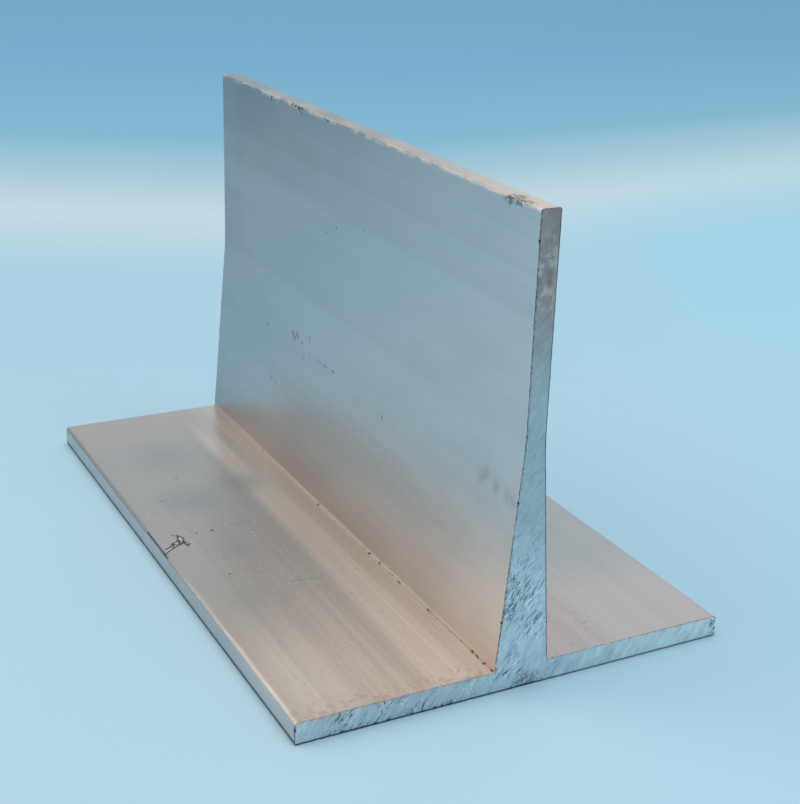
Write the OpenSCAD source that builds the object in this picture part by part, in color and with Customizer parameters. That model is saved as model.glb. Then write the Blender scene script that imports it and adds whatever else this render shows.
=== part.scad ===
// Aluminium tee section: a short length of extruded stock, sawn square at both ends.
// It stands on its flange, web up. The origin is the middle of the flange's underside,
// X runs across the flange, Y along the extrusion and Z up the web.

/* [Length] */
// Length of the sawn piece
length = 160; // [40:1:400]

/* [Flange] */
// Width across the flange
flange_w = 100; // [60:1:150]
// Thickness of the flange
flange_t = 5; // [3:0.25:10]
// Radius on the flange's upper outer edges
flange_top_r = 1; // [0.25:0.25:1.5]
// Radius on the flange's lower outer edges
flange_foot_r = 0.5; // [0.25:0.25:1]

/* [Web] */
// Height of the tee, from the flange's underside to the web's top edge
tee_h = 100; // [80:1:150]
// Thickness of the parallel upper part of the web
web_t = 4.5; // [3:0.25:8]
// Thickness of the web at its foot, where it grows out of the flange
root_t = 12.5; // [9:0.25:20]
// Height above the underside at which the thickening of the web begins
taper_h = 54; // [30:1:65]
// Radius that eases the sloped faces into the parallel ones
blend_r = 80; // [10:5:200]
// Radius of the fillets between web and flange
fillet_r = 0.5; // [0.25:0.25:4]
// Radius on the web's top edges
web_top_r = 0.5; // [0.25:0.25:1]

/* [Hidden] */
$fn = 96;
// Facets of the long easing arc, which covers only a few degrees of its circle
blend_fn = 720;
// Each hollow arc goes this much deeper than tangent, so that it truly crosses both faces
bite = 0.001;

// Lean of the sloped web faces from upright
taper_angle = atan((root_t - web_t) / 2 / (taper_h - flange_t));
// Where the fillet meets the flange and the slope, out from and up from the web's foot
fillet_out = fillet_r * tan(45 - taper_angle / 2);
fillet_up = fillet_r * (1 - sin(taper_angle));
// The easing arc reaches as far down the slope as up the parallel face, and keeps clear of
// the fillet below it and of the rounded top edge above it
blend_reach = min(
    blend_r * tan(taper_angle / 2),
    taper_h - flange_t - 2 * fillet_r,
    tee_h - taper_h - 2 * web_top_r
);
blend_arc_r = blend_reach / tan(taper_angle / 2);
blend_top = taper_h + blend_reach;
blend_foot = taper_h - blend_reach * cos(taper_angle);

// Rounds an outward corner of an outline at the origin, whose metal lies towards -X and -Y
module corner_cut(r) {
    difference() {
        translate([-r, -r]) square(2 * r);
        translate([-r, -r]) circle(r = r);
    }
}

// Half of the flange's outline, from the middle plane out to the edge on +X
module half_flange() {
    difference() {
        square([flange_w / 2, flange_t]);
        translate([flange_w / 2, flange_t]) corner_cut(flange_top_r);
        translate([flange_w / 2, 0]) mirror([0, 1]) corner_cut(flange_foot_r);
    }
}

// Half of the web's outline: a sloped foot, an easing arc and a parallel upper part
module half_web() {
    polygon([[0, 0], [root_t / 2, 0], [root_t / 2, flange_t], [web_t / 2, taper_h], [0, taper_h]]);
    difference() {
        translate([0, blend_foot]) square([root_t / 2, blend_top - blend_foot]);
        translate([web_t / 2 + blend_arc_r, blend_top]) circle(r = blend_arc_r + bite, $fn = blend_fn);
    }
    difference() {
        square([web_t / 2, tee_h]);
        translate([web_t / 2, tee_h]) corner_cut(web_top_r);
    }
}

// Fillet between the flange's top and the foot of the web's sloped face
module half_fillet() {
    difference() {
        square([root_t / 2 + fillet_out, flange_t + fillet_up]);
        translate([root_t / 2 + fillet_out, flange_t + fillet_r]) circle(r = fillet_r + bite);
    }
}

// The whole section, drawn with X across the flange and Y up the web
module tee_section() {
    for (side = [0, 1]) mirror([side, 0]) {
        half_flange();
        half_web();
        half_fillet();
    }
}

// The extruded piece, centred on its length
module tee_bar() {
    color([0.70, 0.69, 0.67])
        translate([0, length / 2, 0]) rotate([90, 0, 0]) linear_extrude(height = length) tee_section();
}

tee_bar();
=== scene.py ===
# %% [markdown]
# # An aluminium tee section in mill finish
# The object is one short length of extruded aluminium: a flat flange with an upright web that
# thickens towards its foot, sawn off at both ends. Nothing on it was painted or polished, so all
# of its looks come from three things: the die, which drew fine lines along the bar, the saw,
# which tore slanting ridges across the ends, and the handling, which left smudges and nicks.
# The lesson models the bar by hand, works those traces into mesh and material, and lights it.

# %% Load the measured part
import math
import random

import bmesh
import bpy
from mathutils import Matrix, Vector, noise


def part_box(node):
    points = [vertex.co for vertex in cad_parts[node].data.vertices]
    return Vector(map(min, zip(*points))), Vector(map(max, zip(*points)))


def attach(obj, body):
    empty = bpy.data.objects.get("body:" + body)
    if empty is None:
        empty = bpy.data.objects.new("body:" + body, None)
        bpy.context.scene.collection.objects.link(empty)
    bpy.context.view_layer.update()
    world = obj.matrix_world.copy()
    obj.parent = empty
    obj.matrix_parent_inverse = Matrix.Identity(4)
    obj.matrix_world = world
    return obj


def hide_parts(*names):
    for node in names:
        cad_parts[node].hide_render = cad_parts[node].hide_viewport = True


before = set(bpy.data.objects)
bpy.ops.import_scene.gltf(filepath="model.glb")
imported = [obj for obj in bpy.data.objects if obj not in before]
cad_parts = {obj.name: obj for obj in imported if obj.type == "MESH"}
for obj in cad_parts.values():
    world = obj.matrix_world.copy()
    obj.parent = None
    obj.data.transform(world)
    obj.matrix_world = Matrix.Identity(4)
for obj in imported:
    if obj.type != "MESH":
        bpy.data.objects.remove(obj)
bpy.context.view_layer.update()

low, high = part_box("tee_bar")
length = high.y - low.y
flange_width = high.x - low.x
tee_height = high.z
print(f"tee_bar: {flange_width:.3f} m wide, {length:.3f} m long, {tee_height:.3f} m high")

# %% [markdown]
# ## The sizes of the section
# A die maker would give the same few numbers: two thicknesses for the web, one for the flange,
# the height where the taper starts, and the radii. They are written in millimetres, because
# that is how such stock is sold, and turned into metres once.

# %% Sizes
MM = 0.001
flange_thick = 5.0 * MM
web_thick = 4.5 * MM
root_thick = 12.5 * MM
taper_height = 54.0 * MM
blend_radius = 80.0 * MM
fillet_radius = 0.5 * MM
flange_top_radius = 1.0 * MM
flange_foot_radius = 0.5 * MM
web_top_radius = 0.5 * MM
half_long = length / 2
half_wide = flange_width / 2
lean = math.atan((root_thick - web_thick) / 2 / (taper_height - flange_thick))
print(f"the sloped web faces lean {math.degrees(lean):.2f} degrees from upright")

# %% [markdown]
# ## Choosing parts of a mesh
# By hand one would click the faces to work on. A script has no mouse, so it chooses them by a
# test on their place or direction. This helper clears the selection, applies such a test to
# every face or edge of the mesh in edit mode, and says how many passed.

# %% Helpers for choosing
TINY = 0.001 * MM


def picked(kind, test):
    """Selects the faces or edges in edit mode that pass the test, and counts them."""
    mesh = bmesh.from_edit_mesh(bpy.context.edit_object.data)
    bpy.ops.mesh.select_mode(type="FACE" if kind == "faces" else "EDGE")
    bpy.ops.mesh.select_all(action="DESELECT")
    chosen = [item for item in getattr(mesh, kind) if test(item)]
    for item in chosen:
        item.select_set(True)
    bmesh.update_edit_mesh(bpy.context.edit_object.data)
    return len(chosen)


def near(a, b, gap=0.01 * MM):
    """True where two lengths are the same but for a hundredth of a millimetre."""
    return abs(a - b) < gap


def cut(point, normal):
    """Cuts what is selected along a plane. The default threshold would be far too coarse."""
    bpy.ops.mesh.bisect(plane_co=tuple(point), plane_no=tuple(normal), threshold=TINY)


# %% [markdown]
# ## Blocking out the bar
# An extrusion could be drawn as a curve and given a depth, but a cube that grows by extruding
# its faces keeps clean four-sided faces everywhere, which the bevels and cuts need later.
# The flange is a flattened cube. Two cuts mark the foot of the web on its top face, and that
# strip is pulled up twice: once while it narrows, for the taper, and once straight up.

# %% Block out flange and web
bpy.ops.object.select_all(action="DESELECT")
bpy.ops.mesh.primitive_cube_add(size=1, location=(0, 0, flange_thick / 2))
tee = bpy.context.object
tee.name = "mill_tee"
tee.scale = (flange_width, length, flange_thick)
bpy.ops.object.transform_apply(location=True, rotation=False, scale=True)
bpy.ops.object.mode_set(mode="EDIT")
for side in (-1, 1):
    bpy.ops.mesh.select_all(action="SELECT")
    cut((side * root_thick / 2, 0, 0), (1, 0, 0))
picked("faces", lambda f: f.normal.z > 0.9 and abs(f.calc_center_median().x) < root_thick / 2)
bpy.ops.mesh.extrude_region_move(
    TRANSFORM_OT_translate={"value": (0, 0, taper_height - flange_thick)}
)
bpy.ops.transform.resize(
    value=(web_thick / root_thick, 1, 1), center_override=(0, 0, taper_height)
)
bpy.ops.mesh.extrude_region_move(
    TRANSFORM_OT_translate={"value": (0, 0, tee_height - taper_height)}
)
print(f"web drawn up to {tee_height / MM:.0f} mm in two steps")

# %% [markdown]
# ## Rounding the long edges
# A die can't have knife-sharp corners, so every edge that runs along the bar is a little round,
# and those thin rounded strips catch the light as bright lines. A bevel modifier would round
# all edges by one width. Here each pair of edges has its own radius, so each is picked by its
# place in the section and bevelled by itself. The distance a bevel takes off either face is
# the radius times the tangent of half the turn.

# %% Round each pair of edges
def runs_along(edge):
    """True for an edge that follows the bar from end to end."""
    return abs(edge.verts[0].co.y - edge.verts[1].co.y) > length / 2


def round_pair(x, z, radius, turn, segments):
    """Bevels the two edges along the bar at +x and -x, at height z, to a radius."""
    count = picked(
        "edges",
        lambda e: runs_along(e) and all(near(abs(v.co.x), x) and near(v.co.z, z) for v in e.verts),
    )
    reach = radius * math.tan(turn / 2)
    bpy.ops.mesh.bevel(offset=reach, offset_type="OFFSET", segments=segments, affect="EDGES")
    print(f"rounded {count} edges at x {x / MM:.2f} mm, z {z / MM:.2f} mm to {radius / MM:.1f} mm")


# A line across each end, at the top of the taper, would stop the bevel there, so it goes first
picked("edges", lambda e: not runs_along(e) and all(near(v.co.z, taper_height) for v in e.verts))
bpy.ops.mesh.dissolve_edges(use_verts=False)
square = math.pi / 2
round_pair(web_thick / 2, taper_height, blend_radius, lean, 16)
round_pair(root_thick / 2, flange_thick, fillet_radius, square - lean, 4)
round_pair(half_wide, flange_thick, flange_top_radius, square, 6)
round_pair(half_wide, 0, flange_foot_radius, square, 4)
round_pair(web_thick / 2, tee_height, web_top_radius, square, 4)

# %% [markdown]
# ## Edges that were knocked about
# On a piece of stock that has been handled, the rounded edges aren't ruler-straight any more:
# a fingernail feels small flats along them, and the highlight on them breaks up. For that the
# bar gets a cut every millimetre, and the points on its rounded edges are pushed in a little by
# smooth noise, never out, so that the outline stays within the true section.

# %% Divide the length and soften the edges
picked("edges", runs_along)
bpy.ops.mesh.subdivide(number_cuts=round(length / MM) - 1)
worn_depth = 0.10 * MM


def wear_at(point):
    """How far a point on a rounded edge is worn in, from smooth noise that repeats each run."""
    slow = noise.noise(Vector((point.x * 40, point.y * 90, point.z * 40)))
    quick = noise.noise(Vector((point.x * 90 + 7, point.y * 420, point.z * 90)))
    return worn_depth * max(0.0, 0.25 + 0.9 * slow + 0.6 * quick)


mesh = bmesh.from_edit_mesh(tee.data)
worn = 0
for vert in mesh.verts:
    on_flange_edge = abs(vert.co.x) > half_wide - 0.8 * flange_top_radius and vert.co.z > 4 * MM
    on_web_edge = vert.co.z > tee_height - 0.8 * web_top_radius and abs(vert.co.x) > 1.8 * MM
    if on_flange_edge or on_web_edge:
        inward = Vector((-math.copysign(1, vert.co.x), 0, -1)).normalized()
        vert.co += inward * wear_at(vert.co)
        worn += 1
bmesh.update_edit_mesh(tee.data)
print(f"{worn} points on the rounded edges were worn in")

# %% [markdown]
# ## The rim of the cut
# A saw pushes a thin lip of metal over the edge as it leaves, and a quick pass with a file takes
# the worst of it off. What is left is a narrow, uneven chamfer all round each end. It starts as
# an inset of the whole end. An inset of many small faces folds over itself, so the end is opened,
# its outline is divided finely, so that the chamfer can waver, and one face is filled in.

# %% Inset a rim at each end
burr_width = 0.14 * MM
rim_pitch = 0.7 * MM


def on_end(side):
    """A test for faces that lie in one sawn end."""
    return lambda f: near(f.calc_center_median().y, side * half_long) and abs(f.normal.y) > 0.9


def around(side):
    """A test for the edges around one end, once it is open."""
    return lambda e: e.is_boundary and all(near(v.co.y, side * half_long) for v in e.verts)


def rim_steps(edge):
    """How many rim steps an edge is long."""
    return round(edge.calc_length() / rim_pitch)


for side in (-1, 1):
    picked("faces", on_end(side))
    bpy.ops.mesh.delete(type="FACE")
    mesh = bmesh.from_edit_mesh(tee.data)
    for steps in sorted({rim_steps(edge) for edge in mesh.edges if around(side)(edge)} - {0, 1}):
        picked("edges", lambda e: around(side)(e) and rim_steps(e) == steps)
        bpy.ops.mesh.subdivide(number_cuts=steps - 1)
    picked("edges", around(side))
    bpy.ops.mesh.edge_face_add()
    picked("faces", on_end(side))
    bpy.ops.mesh.inset(thickness=burr_width, depth=0, use_even_offset=True)
    print(f"end at {side * half_long / MM:.0f} mm: {picked('faces', on_end(side))} faces with its rim")

# %% [markdown]
# ## The saw's ridges
# A coarse blade went through the bar at a slant, and each tooth left a shallow ridge across the
# end. A bump texture alone would leave the surface flat from the side, while on the real piece
# the ridges catch the light. So the end faces are cut into narrow slanting strips of uneven
# width, and each cut line is sunk by its own small depth. The end face is hollow at the fillets
# and under the taper, and a hollow face cuts badly, so it is first divided level by level there.

# %% Cut the saw's strips
saw_slant = math.radians(57)
ridge_pitch = 0.60 * MM
ridge_depth = 0.045 * MM
across = Vector((math.sin(saw_slant), 0, -math.cos(saw_slant)))
chance = random.Random(7)


def ridge_places():
    """Distances across the marks, from one corner of the end to the opposite one."""
    corners = [Vector((x, 0, z)) for x in (-half_wide, half_wide) for z in (0, tee_height)]
    reach = [corner.dot(across) for corner in corners]
    places = [min(reach)]
    while places[-1] < max(reach):
        places.append(places[-1] + ridge_pitch * chance.uniform(0.4, 1.6))
    return places


def turns(point):
    """True near a height where the outline of the web turns: its fillets, its taper, its top."""
    by_fillet = abs(point.z - flange_thick) < 2 * fillet_radius
    by_taper = abs(point.z - taper_height) < blend_radius * math.tan(lean / 2) + rim_pitch
    by_top = point.z > tee_height - 2 * web_top_radius
    return abs(point.x) < root_thick and (by_fillet or by_taper or by_top)


ridges = {}
for side in (-1, 1):
    places = ridge_places()
    picked("faces", lambda f: on_end(side)(f) and f.calc_area() > rim_pitch**2)
    bpy.ops.mesh.hide(unselected=True)
    mesh = bmesh.from_edit_mesh(tee.data)
    levels = {round(v.co.z, 7) for v in mesh.verts if v.select and turns(v.co)}
    for level in sorted(levels):
        bpy.ops.mesh.select_all(action="SELECT")
        cut((0, 0, level), (0, 0, 1))
    for place in places[1:-1]:
        bpy.ops.mesh.select_all(action="SELECT")
        cut(across * place, across)
    bpy.ops.mesh.reveal(select=False)
    ridges[side] = [(place, chance.random() ** 2 * ridge_depth) for place in places]
    print(f"end at {side * half_long / MM:.0f} mm: {len(levels)} levels, {len(places)} ridges")

# %% File the rim and sink the ridges
def sink(side, point):
    """How deep the saw went at a point: straight between one cut line and the next."""
    where = point.dot(across)
    for (start, first), (stop, second) in zip(ridges[side], ridges[side][1:]):
        if start - TINY <= where <= stop + TINY:
            share = (where - start) / (stop - start)
            return first + (second - first) * share
    return 0.0


mesh = bmesh.from_edit_mesh(tee.data)
for side in (-1, 1):
    for vert in [v for v in mesh.verts if near(v.co.y, side * half_long)]:
        rim = any(abs(face.normal.y) < 0.5 for face in vert.link_faces)
        ragged = 0.6 + 0.8 * noise.noise(vert.co * 900) if rim else 0
        vert.co.y -= side * (sink(side, vert.co) + burr_width * max(0.1, ragged) * rim)
bmesh.update_edit_mesh(tee.data)
bpy.ops.object.mode_set(mode="OBJECT")
print(f"the bar has {len(tee.data.polygons)} faces")

# %% [markdown]
# ## Writing shaders as sums
# A node graph is arithmetic, and arithmetic reads better as a formula. The class below wraps
# one output socket. Python's own operators on it add Math nodes, and one method adds any other
# node, so a pattern can be written the way it would be said.

# %% The wire class
class Wire:
    """One output of a shader node, on which Python's operators add Math nodes."""

    def __init__(self, socket):
        self.socket = socket

    def node(self, kind, settings=None, values=None, out=0):
        """Adds any node: its settings first, then the values or wires of its inputs."""
        tree = self.socket.id_data
        made = tree.nodes.new(kind)
        for name, value in (settings or {}).items():
            if name == "stops":
                ramp = made.color_ramp
                for at, _ in value[1:-1]:
                    ramp.elements.new(at)
                for element, (at, colour) in zip(ramp.elements, value):
                    element.position = at
                    element.color = (*colour, 1)
            else:
                setattr(made, name, value)
        for name, value in (values or {}).items():
            if isinstance(value, Wire):
                tree.links.new(value.socket, made.inputs[name])
            elif made.inputs[name].type == "RGBA":
                made.inputs[name].default_value = (*value, 1)
            else:
                made.inputs[name].default_value = value
        return Wire(made.outputs[out])

    def math(self, operation, *values):
        return self.node("ShaderNodeMath", {"operation": operation}, dict(enumerate(values)))

    def vector(self, operation, *values, out=0):
        return self.node("ShaderNodeVectorMath", {"operation": operation}, dict(enumerate(values)), out)

    def plug(self, shader, name):
        """Leads this wire into one of a shader's sockets."""
        shader.id_data.links.new(self.socket, shader.inputs[name])

    def __add__(self, other):
        return self.math("ADD", self, other)

    def __radd__(self, other):
        return self.math("ADD", other, self)

    def __sub__(self, other):
        return self.math("SUBTRACT", self, other)

    def __rsub__(self, other):
        return self.math("SUBTRACT", other, self)

    def __mul__(self, other):
        return self.math("MULTIPLY", self, other)

    def __rmul__(self, other):
        return self.math("MULTIPLY", other, self)

    def __abs__(self):
        return self.math("ABSOLUTE", self)


# %% [markdown]
# ## A few patterns
# Four patterns make nearly every trace on bare metal: a cloud, a step, a spot and a line. They
# all work in millimetres on the piece itself, so that a size can be read off the real thing and
# the pattern stays where it is when the piece moves.

# %% Cloud, step, spot and line
def scaled(vector, factor):
    """A vector or a colour times a factor."""
    source = vector if isinstance(vector, Wire) else factor
    return source.node(
        "ShaderNodeVectorMath", {"operation": "SCALE"}, {0: vector, "Scale": factor}
    )


def axes(place):
    """The three coordinates of a place, each as a wire."""
    split = place.node("ShaderNodeSeparateXYZ", {}, {0: place}).socket.node
    return [Wire(socket) for socket in split.outputs]


def cloud(place, size, stretch=(1, 1, 1), detail=2.0, rough=0.5, shift=0.0):
    """Cloudy noise around 0.5, with blobs of about the given size in millimetres."""
    scale = Vector(stretch) / size
    moved = place.vector("MULTIPLY_ADD", place, tuple(scale), (shift, shift, shift))
    return place.node(
        "ShaderNodeTexNoise",
        {"noise_dimensions": "3D"},
        {"Vector": moved, "Scale": 1.0, "Detail": detail, "Roughness": rough},
    )


def step(value, start, end):
    """0 before start, 1 after end, eased between. With end before start it falls instead."""
    values = {"Value": value, "From Min": start, "From Max": end}
    return value.node("ShaderNodeMapRange", {"interpolation_type": "SMOOTHSTEP"}, values)


def spot(place, centre, radius, soft=0.4, stretch=(1, 1, 1)):
    """1 inside an oval spot and 0 outside it, with a soft rim."""
    moved = place.vector("SUBTRACT", place, centre)
    distance = moved.vector("LENGTH", moved.vector("MULTIPLY", moved, stretch), out=1)
    return step(distance, radius * (1 + soft), radius * (1 - soft))


def line(place, start, stop, width):
    """1 on a straight stroke between two points and 0 away from it."""
    run = Vector(stop) - Vector(start)
    moved = place.vector("SUBTRACT", place, start)
    share = place.vector("DOT_PRODUCT", moved, tuple(run / run.length_squared), out=1)
    share = share.node("ShaderNodeClamp", {}, {"Value": share})
    distance = place.vector("DISTANCE", moved, scaled(tuple(run), share), out=1)
    return step(distance, width, width * 0.4)


def mix(share, first, second):
    """Mixes two colours. The share may be a wire, and so may each colour."""
    settings = {"data_type": "RGBA", "clamp_factor": True}
    return share.node("ShaderNodeMix", settings, {0: share, 6: first, 7: second}, out=2)


def metal(name, roughness):
    """A bare metal: its material, its shader, and the place on the piece in millimetres."""
    material = bpy.data.materials.new(name)
    material.use_nodes = True
    shader = material.node_tree.nodes["Principled BSDF"]
    shader.inputs["Metallic"].default_value = 1.0
    shader.inputs["Roughness"].default_value = roughness
    place = Wire(material.node_tree.nodes.new("ShaderNodeTexCoord").outputs["Object"])
    return material, shader, scaled(place, 1 / MM)


def bump(height, shader):
    """Turns a height in millimetres into small tilts of the surface."""
    height.node("ShaderNodeBump", {}, {"Distance": MM, "Height": height}).plug(shader, "Normal")


print("patterns are ready")

# %% [markdown]
# ## Mill finish
# The faces that came out of the die are satin, not mirror-like. The die's tiny scratches run
# the whole length of the bar, so the pattern is noise that is drawn out along Y. It tilts the
# surface by a bump and changes the gloss in bands. A thin brown film, partly left by handling and
# partly a painted warm reflection, is stronger towards one end, and beside the foot of the web a
# darker band runs along the flange, with a paler strip next to it. Some light and shade on the web
# and on the edges is painted into the colour too, as the comments below say.

# %% Mill finish: the metal and its lines
mill, mill_shader, place = metal("mill_finish", 0.36)
x, y, z = axes(place)
drawn = (1, 0.006, 1)
on_web = step(z, 5.3, 6.0)
on_flange = 1 - on_web
near_half = step(y, 30, -60)
fine_lines = cloud(place, 0.22, drawn, 2.0, 0.6)
wide_lines = cloud(place, 1.6, drawn, 3.0, 0.6, 3.0)
patches = cloud(place, 13, (1, 0.6, 1), 3.0, 0.55, 11.0)
clearness = near_half * on_flange * 0.35 + 0.2
broad_lines = cloud(place, 4.5, drawn, 2.0, 0.5, 7.0)
stripes = (wide_lines - 0.5) * clearness
hairs = (fine_lines - 0.5) * clearness
broads = (broad_lines - 0.5) * clearness

# %% Mill finish: bands, film and painted shading
left = step(x, 0.5, -0.5)
ragged = cloud(place, 4, (1, 1, 1), 3.0, 0.6, 5.0) - 0.5
ragged_place = place.vector("ADD", place, scaled((6.0, 6.0, 6.0), ragged))
brown_band = step(x, -11.2, -10.7) * left * on_flange
pale_band = step(x, -14.2, -13.6) * step(x, -10.7, -11.2) * on_flange
kink_sheen = step(z, 42, 48) * step(z, 56, 52)
upper = step(z, 4.2, 4.7)
# The brown film on the near half of the left flange is partly handling and partly a painted warm reflection.
film_and_warm_reflection = step(y + patches * 40, 25, -60) * left * upper * on_flange
film_reflection_colour = (0.66, 0.60, 0.55)
# Greyer at mid length of the left flange.
mid_flange_grey = step(y, -75, -25) * step(y, 95, 45) * left * upper * on_flange
# Painted shading: the web's colour runs from darker at the far top to paler low at the near end, standing in
# for what it mirrors.
painted_web_shading = step(y + (z - 50) * 0.8, 130, -110)
bare_and_painted_shading = mix(painted_web_shading, (0.37, 0.385, 0.405), (0.67, 0.67, 0.66))
bare_and_painted_shading = mix(on_flange, bare_and_painted_shading, (0.55, 0.54, 0.535))
bare_and_painted_shading = mix(on_flange * step(x, 4, 8) * 0.3, bare_and_painted_shading, (0.48, 0.475, 0.47))
colour = mix(step(patches, 0.35, 0.65) * 0.3, bare_and_painted_shading, (0.53, 0.545, 0.56))
colour = mix(mid_flange_grey * 0.3, colour, (0.43, 0.44, 0.435))
colour = mix(film_and_warm_reflection, colour, film_reflection_colour)
colour = mix(brown_band * 0.8, colour, (0.78, 0.705, 0.635))
colour = mix(pale_band * (0.2 + 0.6 * step(y, 70, 0)), colour, (0.84, 0.765, 0.69))
light_strip = step(x, -21, -17) * step(x, -13.6, -14.2) * on_flange * step(y, 75, 50)
colour = mix(light_strip * 0.85, colour, (0.80, 0.73, 0.67))
pale_corner = spot(ragged_place, (-42, -67, 5), 9, 0.8, (1, 0.55, 1)) * on_flange
colour = mix(pale_corner * 0.85, colour, (0.77, 0.71, 0.65))
right = step(x, 2, 6) * on_flange
colour = mix(right * step(y, -64, -40) * 0.5, colour, (0.34, 0.43, 0.48))
colour = mix(right * step(x, 28, 14) * step(y, -45, -65) * 0.9, colour, (0.50, 0.46, 0.455))
# A little paler and warmer at the far end of the left flange.
far_flange_tint = step(y, 50, 78) * left * upper * on_flange
colour = mix(far_flange_tint * 0.4, colour, (0.58, 0.55, 0.52))
# Painted sheen: a light band along the kink where the web's taper ends.
colour = mix(kink_sheen * 0.14, colour, (0.64, 0.63, 0.62))
# Painted shade: the web is darkened towards its foot, and low_shade and top_shade darken it low at mid length
# and near the far top.
web_foot_shade = on_web * step(z, 20, 7)
mid_length = step(y, -60, -10) * step(y, 65, 20)
colour = mix(web_foot_shade * (0.5 + 0.2 * mid_length), colour, (0.35, 0.335, 0.32))
low_shade = on_web * step(z, 36, 24) * step(y, -70, -48) * step(y, 46, 22)
side_face = step(abs(x), 49.3, 49.8) * step(z, 4.3, 3.8)
colour = mix(side_face * step(y, -30, -75) * left * 0.45, colour, (0.70, 0.62, 0.63))
top_shade = on_web * step(z, 70, 96) * step(y, -60, 20) * 0.10
lines = broads * 0.6 + stripes * 0.5 + hairs * 0.3
colour = scaled(colour, 1 - top_shade - low_shade * 0.13 + lines * (1 - right * 0.5))
fleck = cloud(place, 0.9, (1, 0.7, 1), 4.0, 0.7, 41.0)
freckles = step(fleck, 0.54, 0.68) * film_and_warm_reflection
colour = mix(freckles * 0.22, colour, (0.40, 0.32, 0.28))
front_dirt = step(fleck, 0.46, 0.60) * step(y, -73, -79.5) * left * upper * on_flange
colour = mix(front_dirt * 0.4, colour, (0.50, 0.34, 0.26))
hatched = spot(place, (-24, -20, 5), 13, 0.8, (1, 0.7, 1)) * on_flange
hatch = step(cloud(place, 0.45, (1, 0.45, 1), 3.0, 0.7, 61.0), 0.50, 0.64) * hatched
colour = mix(hatch * 0.28, colour, (0.27, 0.26, 0.25))

# %% Mill finish: stains on the flange
stains = 0
for stain_x, stain_y, radius, strength in (
    (-19, 26, 5.0, 0.8),
    (-36, 21, 6.5, 0.6),
    (-32, 50, 7.0, 0.4),
    (-34, -8, 4.5, 0.5),
    (-40, -31, 5.0, 0.45),
):
    stains = strength * spot(ragged_place, (stain_x, stain_y, 5), radius, 0.9) + stains
colour = mix(stains * 0.75, colour, (0.33, 0.405, 0.435))

# %% [markdown]
# ## Scratches and smudges
# Small marks are what makes bare metal look handled. Some are chance ones, so they come from a
# scattered pattern: pale grains and dark pin marks. Others stand out by themselves, and each of
# those is drawn as a stroke or a spot where it sits: a scribble near the edge of the flange, two
# hairline scratches, a run of dots along the web, and a smudge where something was leant on it.

# %% Mill finish: chance specks
def specks(place, pitch, size, share, shift):
    """Small round specks, one in some of the cells of a scattered grid."""
    moved = place.vector("ADD", place, (shift, shift, shift))
    distance = place.node("ShaderNodeTexVoronoi", {}, {"Vector": moved, "Scale": 1 / pitch})
    lot = axes(Wire(distance.socket.node.outputs["Color"]))[0]
    return step(distance, size / pitch, size / pitch * 0.5) * step(lot, share, share - 0.01)


busy_left = step(y, -50, -10) * step(y, 60, 30) * left
busy_right = step(y, -35, -55) * step(x, 34, 24) * step(x, 2, 6)
pale_specks = specks(place, 1.3, 0.25, 0.42, 0.3) * on_flange * (busy_left + busy_right * 0.35)
pale_specks = pale_specks * step(cloud(place, 6, (1, 1, 1), 1.0, 0.5, 37.0), 0.40, 0.60)
right_dots = specks(place, 1.2, 0.25, 0.50, 4.7) * step(y, -52, -62) * step(x, 30, 20) * step(x, 2, 6)
dark_specks = specks(place, 3.2, 0.22, 0.20, 9.1) + right_dots
colour = mix(pale_specks * 0.85, colour, (0.95, 0.91, 0.87))
colour = mix(dark_specks * on_flange * 0.7, colour, (0.12, 0.11, 0.10))

# %% Mill finish: strokes on the flange
def strokes(place, width, *paths):
    """Thin lines through the points of each path."""
    drawn_lines = 0
    for path in paths:
        for start, stop in zip(path, path[1:]):
            drawn_lines = line(place, start, stop, width) + drawn_lines
    return drawn_lines


def on_top(*points):
    """Points on the top of the flange from pairs of x and y in millimetres."""
    return [(px, py, 5.0) for px, py in points]


grain = cloud(place, 0.35, (1, 1, 1), 2.0, 0.7, 31.0)
shaky_place = place.vector("ADD", place, scaled((0.9, 0.9, 0.0), grain - 0.5))
scribble = strokes(
    shaky_place,
    0.30,
    on_top((-49.6, -4.1), (-47.4, -2.3), (-45.8, -1.3), (-43.8, -0.2)),
    on_top((-48.9, -2.1), (-47.2, -1.0), (-46.4, 0.3), (-45.0, 0.9), (-44.0, 3.7), (-45.2, 4.3)),
    on_top((-44.0, 3.7), (-43.2, 2.3), (-43.7, 0.0), (-44.8, -0.9), (-44.9, 1.3), (-43.0, -0.6)),
    on_top((-46.9, -1.9), (-46.3, -0.2), (-45.2, -0.9), (-44.4, 1.2), (-43.4, -2.2), (-42.7, -1.2)),
)
hairlines = strokes(
    shaky_place,
    0.16,
    on_top((-30.8, 5.0), (-29.1, 3.8), (-26.8, 4.1), (-25.1, 4.3)),
    on_top((-28.5, -27.9), (-25.1, -28.4), (-21.2, -29.1)),
)
scraped = strokes(shaky_place, 0.8, on_top((-48.6, -2.6), (-46.0, -0.6), (-44.3, 0.8), (-43.9, 2.6)))
colour = mix(scraped * step(grain, 0.46, 0.60) * 0.7, colour, (0.90, 0.88, 0.85))
colour = mix(scribble * step(grain, 0.28, 0.44) * 0.95, colour, (0.03, 0.028, 0.025))
colour = mix(hairlines * 0.5, colour, (0.16, 0.15, 0.14))
scuff = spot(place, (-45.2, 0.4, 5), 3.4, 0.6) * step(grain, 0.60, 0.68)
colour = mix(scuff * 0.8, colour, (0.80, 0.78, 0.74))
grey_dots = 0
for dot_x, dot_y, radius in (
    (-35.6, 3.2, 0.45),
    (-39.3, 3.4, 0.28),
    (-39.6, -19.1, 0.32),
    (-33.5, 35.1, 0.32),
    (-41.2, 23.3, 0.30),
):
    grey_dots = spot(shaky_place, (dot_x, dot_y, 5), radius, 0.4) + grey_dots
colour = mix(grey_dots * 0.8, colour, (0.08, 0.08, 0.08))

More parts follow.
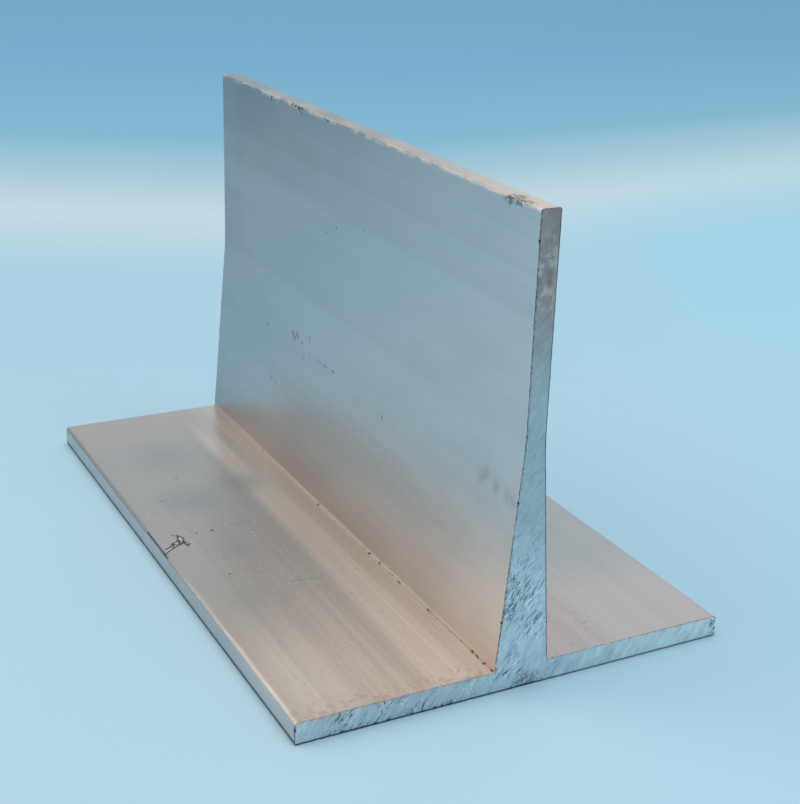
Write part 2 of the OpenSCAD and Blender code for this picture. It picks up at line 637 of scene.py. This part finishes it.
# %% Mill finish: marks on the web
web_place = place.vector("MULTIPLY", place, (0, 1, 1))
shaky_web = web_place.vector("ADD", web_place, scaled((0.0, 1.6, 1.6), grain - 0.5))
on_left = step(x, -1.5, -2.0) * on_web
smudges = strokes(
    shaky_web,
    0.75,
    [(0, 29.9, 42.6), (0, 28.3, 41.3)],
    [(0, 27.4, 43.1), (0, 26.6, 42.3)],
)
small_marks = strokes(
    shaky_web,
    0.34,
    [(0, 19.8, 44.3), (0, 19.4, 43.5)],
    [(0, 27.8, 99.3), (0, 26.6, 97.9)],
    [(0, 46.2, 99.2), (0, 45.8, 98.3)],
)
for mark_y, mark_z in ((46.1, 39.9), (40.8, 26.8), (9.8, 40.2), (5.0, 40.3), (23.9, 41.7)):
    small_marks = spot(shaky_web, (0, mark_y, mark_z), 0.42, 0.4) + small_marks
for mark_y, mark_z in ((12.1, 72.8), (6.5, 75.4), (-7.8, 78.4), (-21.9, 38.5), (79.6, 45.6)):
    small_marks = spot(shaky_web, (0, mark_y, mark_z), 0.34, 0.4) + small_marks
dotted = strokes(shaky_web, 0.32, [(0, 19.6, 40.0), (0, 3.4, 40.25)])
dotted = dotted * step(cloud(web_place, 1.3, (1, 1, 1), 1.0, 0.5, 17.0), 0.50, 0.58)
faint = strokes(web_place, 0.40, [(0, 40.1, 31.4), (0, 39.7, 28.4)])
faint = faint + spot(shaky_web, (0, 38.4, 26.2), 0.9, 0.6) + spot(shaky_web, (0, 22.8, 38.3), 0.8, 0.6)
bruise = 0
for bruise_y, bruise_z in ((-67.4, 43.2), (-65.5, 41.8), (-71.6, 42.0), (-76.0, 41.6), (-78.4, 41.6)):
    bruise = spot(shaky_web, (0, bruise_y, bruise_z), 1.3, 0.8) + bruise
web_marks = (smudges * step(grain, 0.35, 0.5) + small_marks + dotted * 0.8) * on_left
colour = mix(web_marks * 0.7, colour, (0.10, 0.14, 0.16))
colour = mix((faint * 0.6 + bruise * step(grain, 0.38, 0.55) * 0.8) * on_left * 0.4, colour, (0.15, 0.17, 0.18))

# %% Mill finish: dirt, painted shade and a painted highlight in the corner, painted shadow at the foot
# Dirt and painted shade: a dark brown line along the fillet, partly dirt and partly shade that dims the
# fillet's highlight.
corner = strokes(place, 0.34, [(-6.42, 80.0, 5.16), (-6.42, -80.0, 5.16)])
colour = mix(corner * (0.5 + 0.2 * step(y, -20, -70)), colour, (0.30, 0.20, 0.15))
# Painted highlight: a thin pale line along the flange side of the fillet.
fillet_highlight = strokes(place, 0.30, [(-6.95, 20.0, 5.0), (-6.95, -80.0, 5.0)])
colour = mix(fillet_highlight * step(y, 10, -60) * 0.12, colour, (0.85, 0.76, 0.68))
near_corner = 0.03 * step(y, -20, -50) + 0.07 * step(y, -64, -74)
corner_grit = step(cloud(shaky_place, 1.5, (1, 1, 1), 3.0, 0.7, 13.0) + near_corner, 0.60, 0.65)
corner_dirt = strokes(shaky_place, 0.45, [(-6.5, 50.0, 5.2), (-6.5, -80.0, 5.2)]) * corner_grit
colour = mix(corner_dirt * 0.95, colour, (0.07, 0.035, 0.025))
# Painted shade: the far half of the flange's top arris is darkened, which dims its highlight, and a flecked
# brown runs along the whole arris.
arris = step(z, 4.0, 4.5) * step(abs(x), 49.0, 49.5)
arris_shade = arris * step(y + 60 * (grain - 0.5), -25, 5)
colour = mix(arris_shade * 0.25, colour, (0.16, 0.16, 0.16))
colour = mix(arris * step(grain, 0.45, 0.60) * 0.3, colour, (0.30, 0.26, 0.22))
gouge = strokes(shaky_place, 0.30, [(-49.75, 9.0, 4.75), (-49.75, -6.0, 4.75)])
colour = mix(gouge * 0.9, colour, (0.03, 0.03, 0.03))
# Painted contact shadow: a dark blue line along the bottom edge of the bar.
contact_shadow_line = step(z, 1.20, 0.75)
colour = mix(contact_shadow_line * 0.9, colour, (0.02, 0.05, 0.08))

# %% Mill finish: the web's top edge
top_face = step(z, 99.2, 99.6) * on_web
# Painted reflections: the top face of the web is bluish grey further back and cream towards the near end.
colour = mix(top_face * step(y, -40, 50) * 0.85, colour, (0.37, 0.43, 0.49))
colour = mix(top_face * step(y, -30, -78) * 0.7, colour, (0.76, 0.71, 0.60))
# Painted highlights: pale patches along the top of the web.
top_highlights = 0
for patch_y, radius in ((46, 3.0), (28, 3.5), (3, 2.5), (-20, 3.0)):
    top_highlights = spot(ragged_place, (-1.0, patch_y, 100), radius, 0.8, (1, 0.5, 1)) + top_highlights
colour = mix(top_face * top_highlights * 0.3, colour, (0.80, 0.70, 0.64))
top_arris = step(z, 99.0, 99.5) * step(x, -1.6, -2.0)
# Painted highlights: pale flecks along the left top arris of the web.
arris_highlights = top_arris * step(cloud(place, 2.2, (1, 0.3, 1), 3.0, 0.6, 33.0), 0.46, 0.56)
colour = mix(arris_highlights * 0.6, colour, (0.92, 0.84, 0.76))
dent = spot(ragged_place, (-1.6, -71.4, 99.8), 1.15, 0.4, (0.9, 0.24, 0.9))
dent_grain = step(cloud(place, 0.8, (1, 0.8, 1), 3.0, 0.7, 27.0), 0.34, 0.56)
colour = mix(dent * dent_grain * 0.8, colour, (0.13, 0.115, 0.11))
# Painted highlight: a cream line where the top arris meets the near end.
colour = mix(top_arris * step(y, -78.2, -78.8) * 0.8, colour, (0.95, 0.90, 0.80))

# %% Mill finish: gloss and relief
colour.plug(mill_shader, "Base Color")
gloss = 0.33 + 0.08 * patches + 0.10 * stains + 0.15 * abs(stripes) + 0.06 * film_and_warm_reflection
gloss.plug(mill_shader, "Roughness")
swell = cloud(place, 18, (1, 0.5, 1), 1.0, 0.5, 21.0) * 0.04
bump(swell + wide_lines * 0.006 + fine_lines * 0.0009, mill_shader)
print("mill finish mixed")

# %% [markdown]
# ## The sawn ends
# A sawn face is torn, not drawn: short bright and dark streaks along the blade's slant, in
# patches where a tooth dragged a chip. Its light blue is a painted reflection of the floor.
# Towards the top of the web the cut is duller, darker and mottled, partly oxide and partly painted
# shade. The streaks are noise in a frame that is turned into the slant of the cut, and a dark rim
# follows the outline of the section, as far from it as the distance to its flanks says: dirt and
# chips, with painted shade on the right flank and a painted contact shadow at the foot.

# %% Sawn end: streaks
sawn, sawn_shader, place = metal("sawn_end", 0.45)
x, y, z = axes(place)
cos_slant, sin_slant = math.cos(saw_slant), math.sin(saw_slant)
slanted = x.node(
    "ShaderNodeCombineXYZ",
    {},
    {"X": x * sin_slant - z * cos_slant, "Y": x * cos_slant + z * sin_slant, "Z": y},
)
bend = cloud(place, 3.0, (1, 1, 1), 3.0, 0.6, 51.0) - 0.5
torn_place = place.vector("ADD", slanted, scaled((2.0, 1.5, 0.0), bend))
streaks = cloud(torn_place, 0.34, (1, 0.15, 1), 4.0, 0.7)
drags = cloud(torn_place, 1.3, (1, 0.30, 1), 3.0, 0.6, 4.0)
bands = cloud(slanted, 2.4, (1, 0.12, 1), 2.0, 0.5, 71.0) - 0.5
torn = step(cloud(slanted, 3.6, (1, 0.5, 1), 2.0, 0.5, 8.0), 0.42, 0.58)
root = step(z, 44, 20)
on_foot = step(abs(x), 6, 8)
drag_patch = spot(slanted, (-13.3, 15.5, -80), 3.0, 0.7, (1, 0.45, 0))
busy = step(x, 9, 3) * (1 - on_foot) + on_foot * step(x, -46, -40) * step(x, -8, -18)
torn = torn.math("MAXIMUM", torn * (busy + 0.15), drag_patch)
scores = step(streaks + drag_patch * 0.05, 0.54, 0.61) * torn * root
glints = step(streaks, 0.44, 0.34) * (0.3 + 0.7 * torn) * root
crumbs = cloud(place, 0.38, (1, 1, 1), 2.0, 0.6, 91.0)
sparkle = step(crumbs, 0.62, 0.70) * root * (0.3 + 0.7 * torn)

# %% Sawn end: colour
mottle = cloud(place, 2.4, (1, 1, 1), 3.0, 0.6, 2.0)
oxide_and_shade_top = step(z, 60, 90)
# Painted reflection: the cut's light blue, paler to the right and deeper on the left flange, stands in for the
# blue floor it mirrors.
cut_metal_and_reflection = mix(step(z, 18, 46), (0.61, 0.70, 0.74), (0.47, 0.535, 0.55))
cut_metal_and_reflection = mix(step(x, 4, 30) * 0.8, cut_metal_and_reflection, (0.80, 0.85, 0.83))
cut_metal_and_reflection = mix(step(x, -8, -14) * step(x, -48, -44) * 0.6, cut_metal_and_reflection, (0.52, 0.57, 0.60))
# Darker and browner towards the top of the web: partly oxide and dirt, partly painted shade.
cut_metal_and_reflection = mix(oxide_and_shade_top, cut_metal_and_reflection, (0.40, 0.325, 0.295))
blotched = step(z, 78, 82) * step(z, 97, 93)
cut_metal_and_reflection = mix(step(mottle, 0.48, 0.62) * blotched * 0.7, cut_metal_and_reflection, (0.62, 0.53, 0.48))
cut_metal_and_reflection = mix(step(mottle, 0.46, 0.34) * blotched * 0.6, cut_metal_and_reflection, (0.24, 0.22, 0.22))
cut_metal_and_reflection = mix(glints * 0.5, cut_metal_and_reflection, (0.80, 0.86, 0.90))
cut_metal_and_reflection = mix(scores * 0.85, cut_metal_and_reflection, (0.13, 0.18, 0.21))
cut_metal_and_reflection = mix(sparkle * 0.5, cut_metal_and_reflection, (0.97, 0.98, 1.0))
tone = (drags - 0.5) * 0.6 - (streaks - 0.5) * (0.15 + 0.4 * root) + (crumbs - 0.5) * 0.25
cut_metal_and_reflection = scaled(cut_metal_and_reflection, 1 + tone + bands * on_foot * 0.4)
below_kink = z.math("MAXIMUM", taper_height / MM - z, 0)
side_gap = web_thick / MM / 2 + below_kink * math.tan(lean) - abs(x)
grain = cloud(place, 0.7, (1, 1, 1), 2.0, 0.6, 15.0)
# Painted shade: a dark line along the right flank of the web's end. The left and top rims are dirt, broken by
# grain.
right_rim_shade = step(side_gap, 0.34, 0.18) * step(x, 0, 0.5) * step(z, 5.0, 5.6)
left_rim = step(side_gap, 0.5, 0.2) * step(x, 0, -0.5) * step(z, 5.0, 5.6) * step(grain, 0.45, 0.62)
top_rim = step(z, 4.65, 4.85) * step(abs(x), 6.4, 6.9) * step(grain, 0.42, 0.56)
# Painted contact shadow: a dark line along the foot of the end.
foot_contact_shadow = step(z, 0.50, 0.32) * (0.9 + 0.3 * step(x, 20, -10))
chips = step(cloud(torn_place, 0.9, (1, 0.7, 1), 4.0, 0.7, 81.0), 0.55, 0.62) * step(z, 1.8, 0.5)
chips = chips * step(x, 6, -4) * step(x, -46, -40)
right_tip = spot(place, (49.4, -80, 3.4), 1.5, 0.7, (1.3, 0, 0.6)) * step(grain, 0.44, 0.54)
foot_patch = spot(place, (1.5, -80, 0.8), 2.4, 0.6, (0.7, 0, 1)) * step(grain, 0.40, 0.58)
# The rim joins dirt and chips with the painted shade and contact shadow above.
rim = right_rim_shade + left_rim * 0.8 + top_rim * 0.5 + foot_contact_shadow + foot_patch * 0.7 + chips + right_tip
cut_metal_and_reflection = mix(rim * 0.8, cut_metal_and_reflection, (0.06, 0.07, 0.09))

# %% Sawn end: gloss and relief
cut_metal_and_reflection.plug(sawn_shader, "Base Color")
(0.40 + 0.2 * scores + 0.1 * mottle).plug(sawn_shader, "Roughness")
bump(streaks * 0.05 * root + drags * 0.06 + mottle * 0.03, sawn_shader)
print("sawn end mixed")

# %% Burr
burr, burr_shader, place = metal("burr", 0.5)
grit = cloud(place, 0.8, (1, 1, 1), 2.0, 0.6)
_, _, z = axes(place)
# Dark torn metal, partly grime and partly painted shade along the rims and in the nicks, paler at the height of
# the flange's top edge.
burr_grime_and_shade = mix(step(grit, 0.40, 0.62), (0.10, 0.11, 0.12), (0.34, 0.34, 0.34))
on_top_edge = step(z, 4.0, 4.5) * step(z, 6.0, 5.4)
burr_grime_and_shade = mix(on_top_edge * (0.45 + 0.55 * step(grit, 0.42, 0.56)), burr_grime_and_shade, (0.62, 0.52, 0.45))
burr_grime_and_shade.plug(burr_shader, "Base Color")
bump(grit * 0.05, burr_shader)

# %% [markdown]
# ## Nicks
# Where the bar was dropped or dragged over others, the edges lost small chips of metal. Each
# chip is what an uneven pebble would take out of the edge, so pebbles are scattered along the
# edges, joined, and taken away from the bar with one Boolean. They pass their dark, torn finish
# on to the hollow that they leave; its darkness is partly grime and partly painted shade.

# %% Scatter the pebbles
def pebble(point, radius, squash=(1.0, 1.0, 1.0)):
    """Adds one uneven pebble at a point given in millimetres."""
    centre = Vector(point) * MM
    bpy.ops.mesh.primitive_ico_sphere_add(subdivisions=2, radius=radius * MM, location=centre)
    stone = bpy.context.object
    stone.scale = squash
    bpy.ops.object.transform_apply(location=True, rotation=True, scale=True)
    for vert in stone.data.vertices:
        vert.co = centre + (vert.co - centre) * chance.uniform(0.75, 1.15)
    return stone


bpy.ops.object.select_all(action="DESELECT")
web_edge = web_thick / MM / 2
top = tee_height / MM
front = -half_long / MM
stones = []
for y in (45.8, 45.0, 33, 31.6, 30.9, 29.4, 28.6, 27.3, 26.8, 26.2, 12):
    place = (-web_edge - 0.15, y, top - chance.uniform(0, 0.6))
    stones.append(pebble(place, chance.uniform(0.25, 0.65)))
for y in (-67.5, -68.8, -70, -71, -72, -73.3, -74.6):
    place = (-web_edge - 0.25, y, top + 0.1 - chance.uniform(0, 0.3))
    stones.append(pebble(place, chance.uniform(0.45, 0.65), (0.8, 1.6, 0.8)))
for z in (97, 94, 78, 74, 73, 49, 42, 41, 27, 16):
    flank = -web_edge - max(0, taper_height / MM - z) * math.tan(lean)
    stones.append(pebble((flank - 0.2, front - 0.1, z), chance.uniform(0.3, 0.55)))
stones.append(pebble((-50.1, front, 3.8), 0.9, (0.6, 0.6, 1.6)))
stones.append(pebble((50.2, front, 3.0), 0.9, (0.6, 0.6, 1.5)))
for _ in range(24):
    place = (chance.choice((-50.15, 50.15)), chance.uniform(-78, 78), 5.05)
    stones.append(pebble(place, chance.uniform(0.25, 0.5)))
bpy.ops.object.select_all(action="DESELECT")
for stone in stones:
    stone.select_set(True)
bpy.context.view_layer.objects.active = stones[0]
bpy.ops.object.join()
pebbles = bpy.context.object
pebbles.data.materials.append(burr)
print(f"{len(stones)} pebbles")

# %% Give each face its finish
for finish in (mill, sawn, burr):
    tee.data.materials.append(finish)
for face in tee.data.polygons:
    at_end = abs(face.center.y) > half_long - ridge_depth - 2 * burr_width
    flat_end = at_end and abs(face.normal.y) > 0.95
    face.material_index = 1 if flat_end else 2 if at_end and abs(face.normal.y) > 0.3 else 0
print(f"{sum(face.material_index == 1 for face in tee.data.polygons)} sawn faces")

# %% Take the nicks out and shade the bar
bpy.ops.object.select_all(action="DESELECT")
tee.select_set(True)
bpy.context.view_layer.objects.active = tee
nicks = tee.modifiers.new("nicks", "BOOLEAN")
nicks.object = pebbles
nicks.operation = "DIFFERENCE"
nicks.solver = "EXACT"
nicks.use_self = True
nicks.material_mode = "TRANSFER"
bpy.ops.object.modifier_apply(modifier="nicks")
bpy.data.objects.remove(pebbles)
bpy.ops.object.shade_smooth_by_angle(angle=math.radians(20))
weighted = tee.modifiers.new("weighted", "WEIGHTED_NORMAL")
weighted.keep_sharp = True
bpy.ops.object.modifier_apply(modifier="weighted")
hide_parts("tee_bar")
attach(tee, "root")
print(f"mill_tee: {len(tee.data.polygons)} faces")

# %% [markdown]
# ## Floor, light and camera
# The bar stands on a pale blue sweep. Bare metal shows little of its own: it mirrors what is
# around it, so the surroundings are part of its finish.

# %% Floor
heading = Vector((math.sin(math.radians(27.83)), math.cos(math.radians(27.83)), 0))
floor_size = 8.0
bpy.ops.object.select_all(action="DESELECT")
bpy.ops.mesh.primitive_plane_add(size=floor_size, location=(0, 0, 0))
floor = bpy.context.object
floor.name = "floor"
paper = bpy.data.materials.new("blue_sweep")
paper.use_nodes = True
paper_shader = paper.node_tree.nodes["Principled BSDF"]
paper_shader.inputs["Roughness"].default_value = 0.9
paper_shader.inputs["Specular IOR Level"].default_value = 0.0
where = Wire(paper.node_tree.nodes.new("ShaderNodeTexCoord").outputs["Object"])
to_the_right = Vector((heading.y, -heading.x, 0))
lateral = where.vector("DOT_PRODUCT", where, tuple(to_the_right), out=1)
depth = where.vector("DOT_PRODUCT", where, tuple(heading), out=1)
depth = depth - lateral.math("MAXIMUM", lateral, 0) * 0.6
NEAR_BLUE = (0.49, 0.71, 0.85)
FAR_BLUE = (0.205, 0.465, 0.67)
# Painted light: the sweep's colour darkens with distance from the bar and has one paler band, standing in for
# the light's fall-off and a sheen.
fade = depth.node(
    "ShaderNodeValToRGB",
    {
        "stops": [
            (0.00, NEAR_BLUE),
            (0.12, (0.42, 0.67, 0.81)),
            (0.22, (0.42, 0.67, 0.81)),
            (0.31, (0.58, 0.72, 0.805)),
            (0.38, (0.42, 0.63, 0.75)),
            (0.48, (0.24, 0.51, 0.69)),
            (0.75, FAR_BLUE),
        ]
    },
    {"Fac": depth},
)
# Painted light: the floor to the right of the bar is lightened against the bar's shadow there.
painted_light_right = step(lateral, 0.0, 0.16) * step(depth, 0.42, 0.20)
fade = mix(painted_light_right * 0.6, fade, (0.375, 0.70, 0.865))
fade.plug(paper_shader, "Base Color")
floor.data.materials.append(paper)

# %% World
world = bpy.data.worlds.new("studio")
bpy.context.scene.world = world
world.use_nodes = True
background = world.node_tree.nodes["Background"]
direction = Wire(world.node_tree.nodes.new("ShaderNodeTexCoord").outputs["Generated"])


def glow(azimuth, elevation, inner, outer):
    """1 around a direction of the sky, easing to 0 between two angles from it, in degrees."""
    a, e = math.radians(azimuth), math.radians(elevation)
    aim = (math.sin(a) * math.cos(e), math.cos(a) * math.cos(e), math.sin(e))
    closeness = direction.vector("DOT_PRODUCT", direction, aim, out=1)
    return step(closeness, math.cos(math.radians(outer)), math.cos(math.radians(inner)))


height = axes(direction)[2]
ahead = direction.vector("DOT_PRODUCT", direction, tuple(heading), out=1)
horizon = mix(step(ahead, 0.0, 0.2), NEAR_BLUE, FAR_BLUE)
sky = mix(step(height, 0.03, 0.32), horizon, (0.62, 0.64, 0.65))
sky = mix(glow(46, 22, 6, 30) * 0.8, sky, (0.93, 0.91, 0.89))
sky = mix(glow(-54, 40, 6, 31), sky, (2.10, 1.72, 1.42))
sky = mix(glow(-14, 3, 6, 30) * 0.75, sky, (0.08, 0.13, 0.17))
sky.plug(background, "Color")

# %% Lamps
def softbox(name, place, size, radiance, colour):
    """A square area lamp that faces the bar, as bright as its radiance wherever it is seen."""
    data = bpy.data.lights.new(name, "AREA")
    data.shape = "SQUARE"
    data.size = size
    data.energy = radiance * math.pi * size**2
    data.color = colour
    lamp = bpy.data.objects.new(name, data)
    bpy.context.scene.collection.objects.link(lamp)
    lamp.location = place
    lamp.rotation_euler = (-Vector(place)).to_track_quat("-Z", "Y").to_euler()
    lamp.visible_camera = False


softbox("overhead", (0.0, 0.0, 1.6), 1.4, 1.2, (1.0, 1.0, 1.0))

# %% Camera
camera_place = Vector((-0.14416, -0.29681, 0.16248))
camera_heading, camera_dip, camera_roll = (math.radians(angle) for angle in (27.83, 21.27, 1.81))
long_side_px = 804
focal_px = 1468.6
camera_data = bpy.data.cameras.new("camera")
camera = bpy.data.objects.new("camera", camera_data)
bpy.context.scene.collection.objects.link(camera)
bpy.context.scene.camera = camera
camera_data.lens = camera_data.sensor_width * focal_px / long_side_px
camera_data.clip_start = 0.01
forward = Vector((
    math.sin(camera_heading) * math.cos(camera_dip),
    math.cos(camera_heading) * math.cos(camera_dip),
    -math.sin(camera_dip),
))
upright = forward.to_track_quat("-Z", "Y").to_matrix().to_4x4()
roll = Matrix.Rotation(camera_roll, 4, "Z")
camera.matrix_world = Matrix.Translation(camera_place) @ upright @ roll
bpy.context.scene.view_settings.view_transform = "Standard"
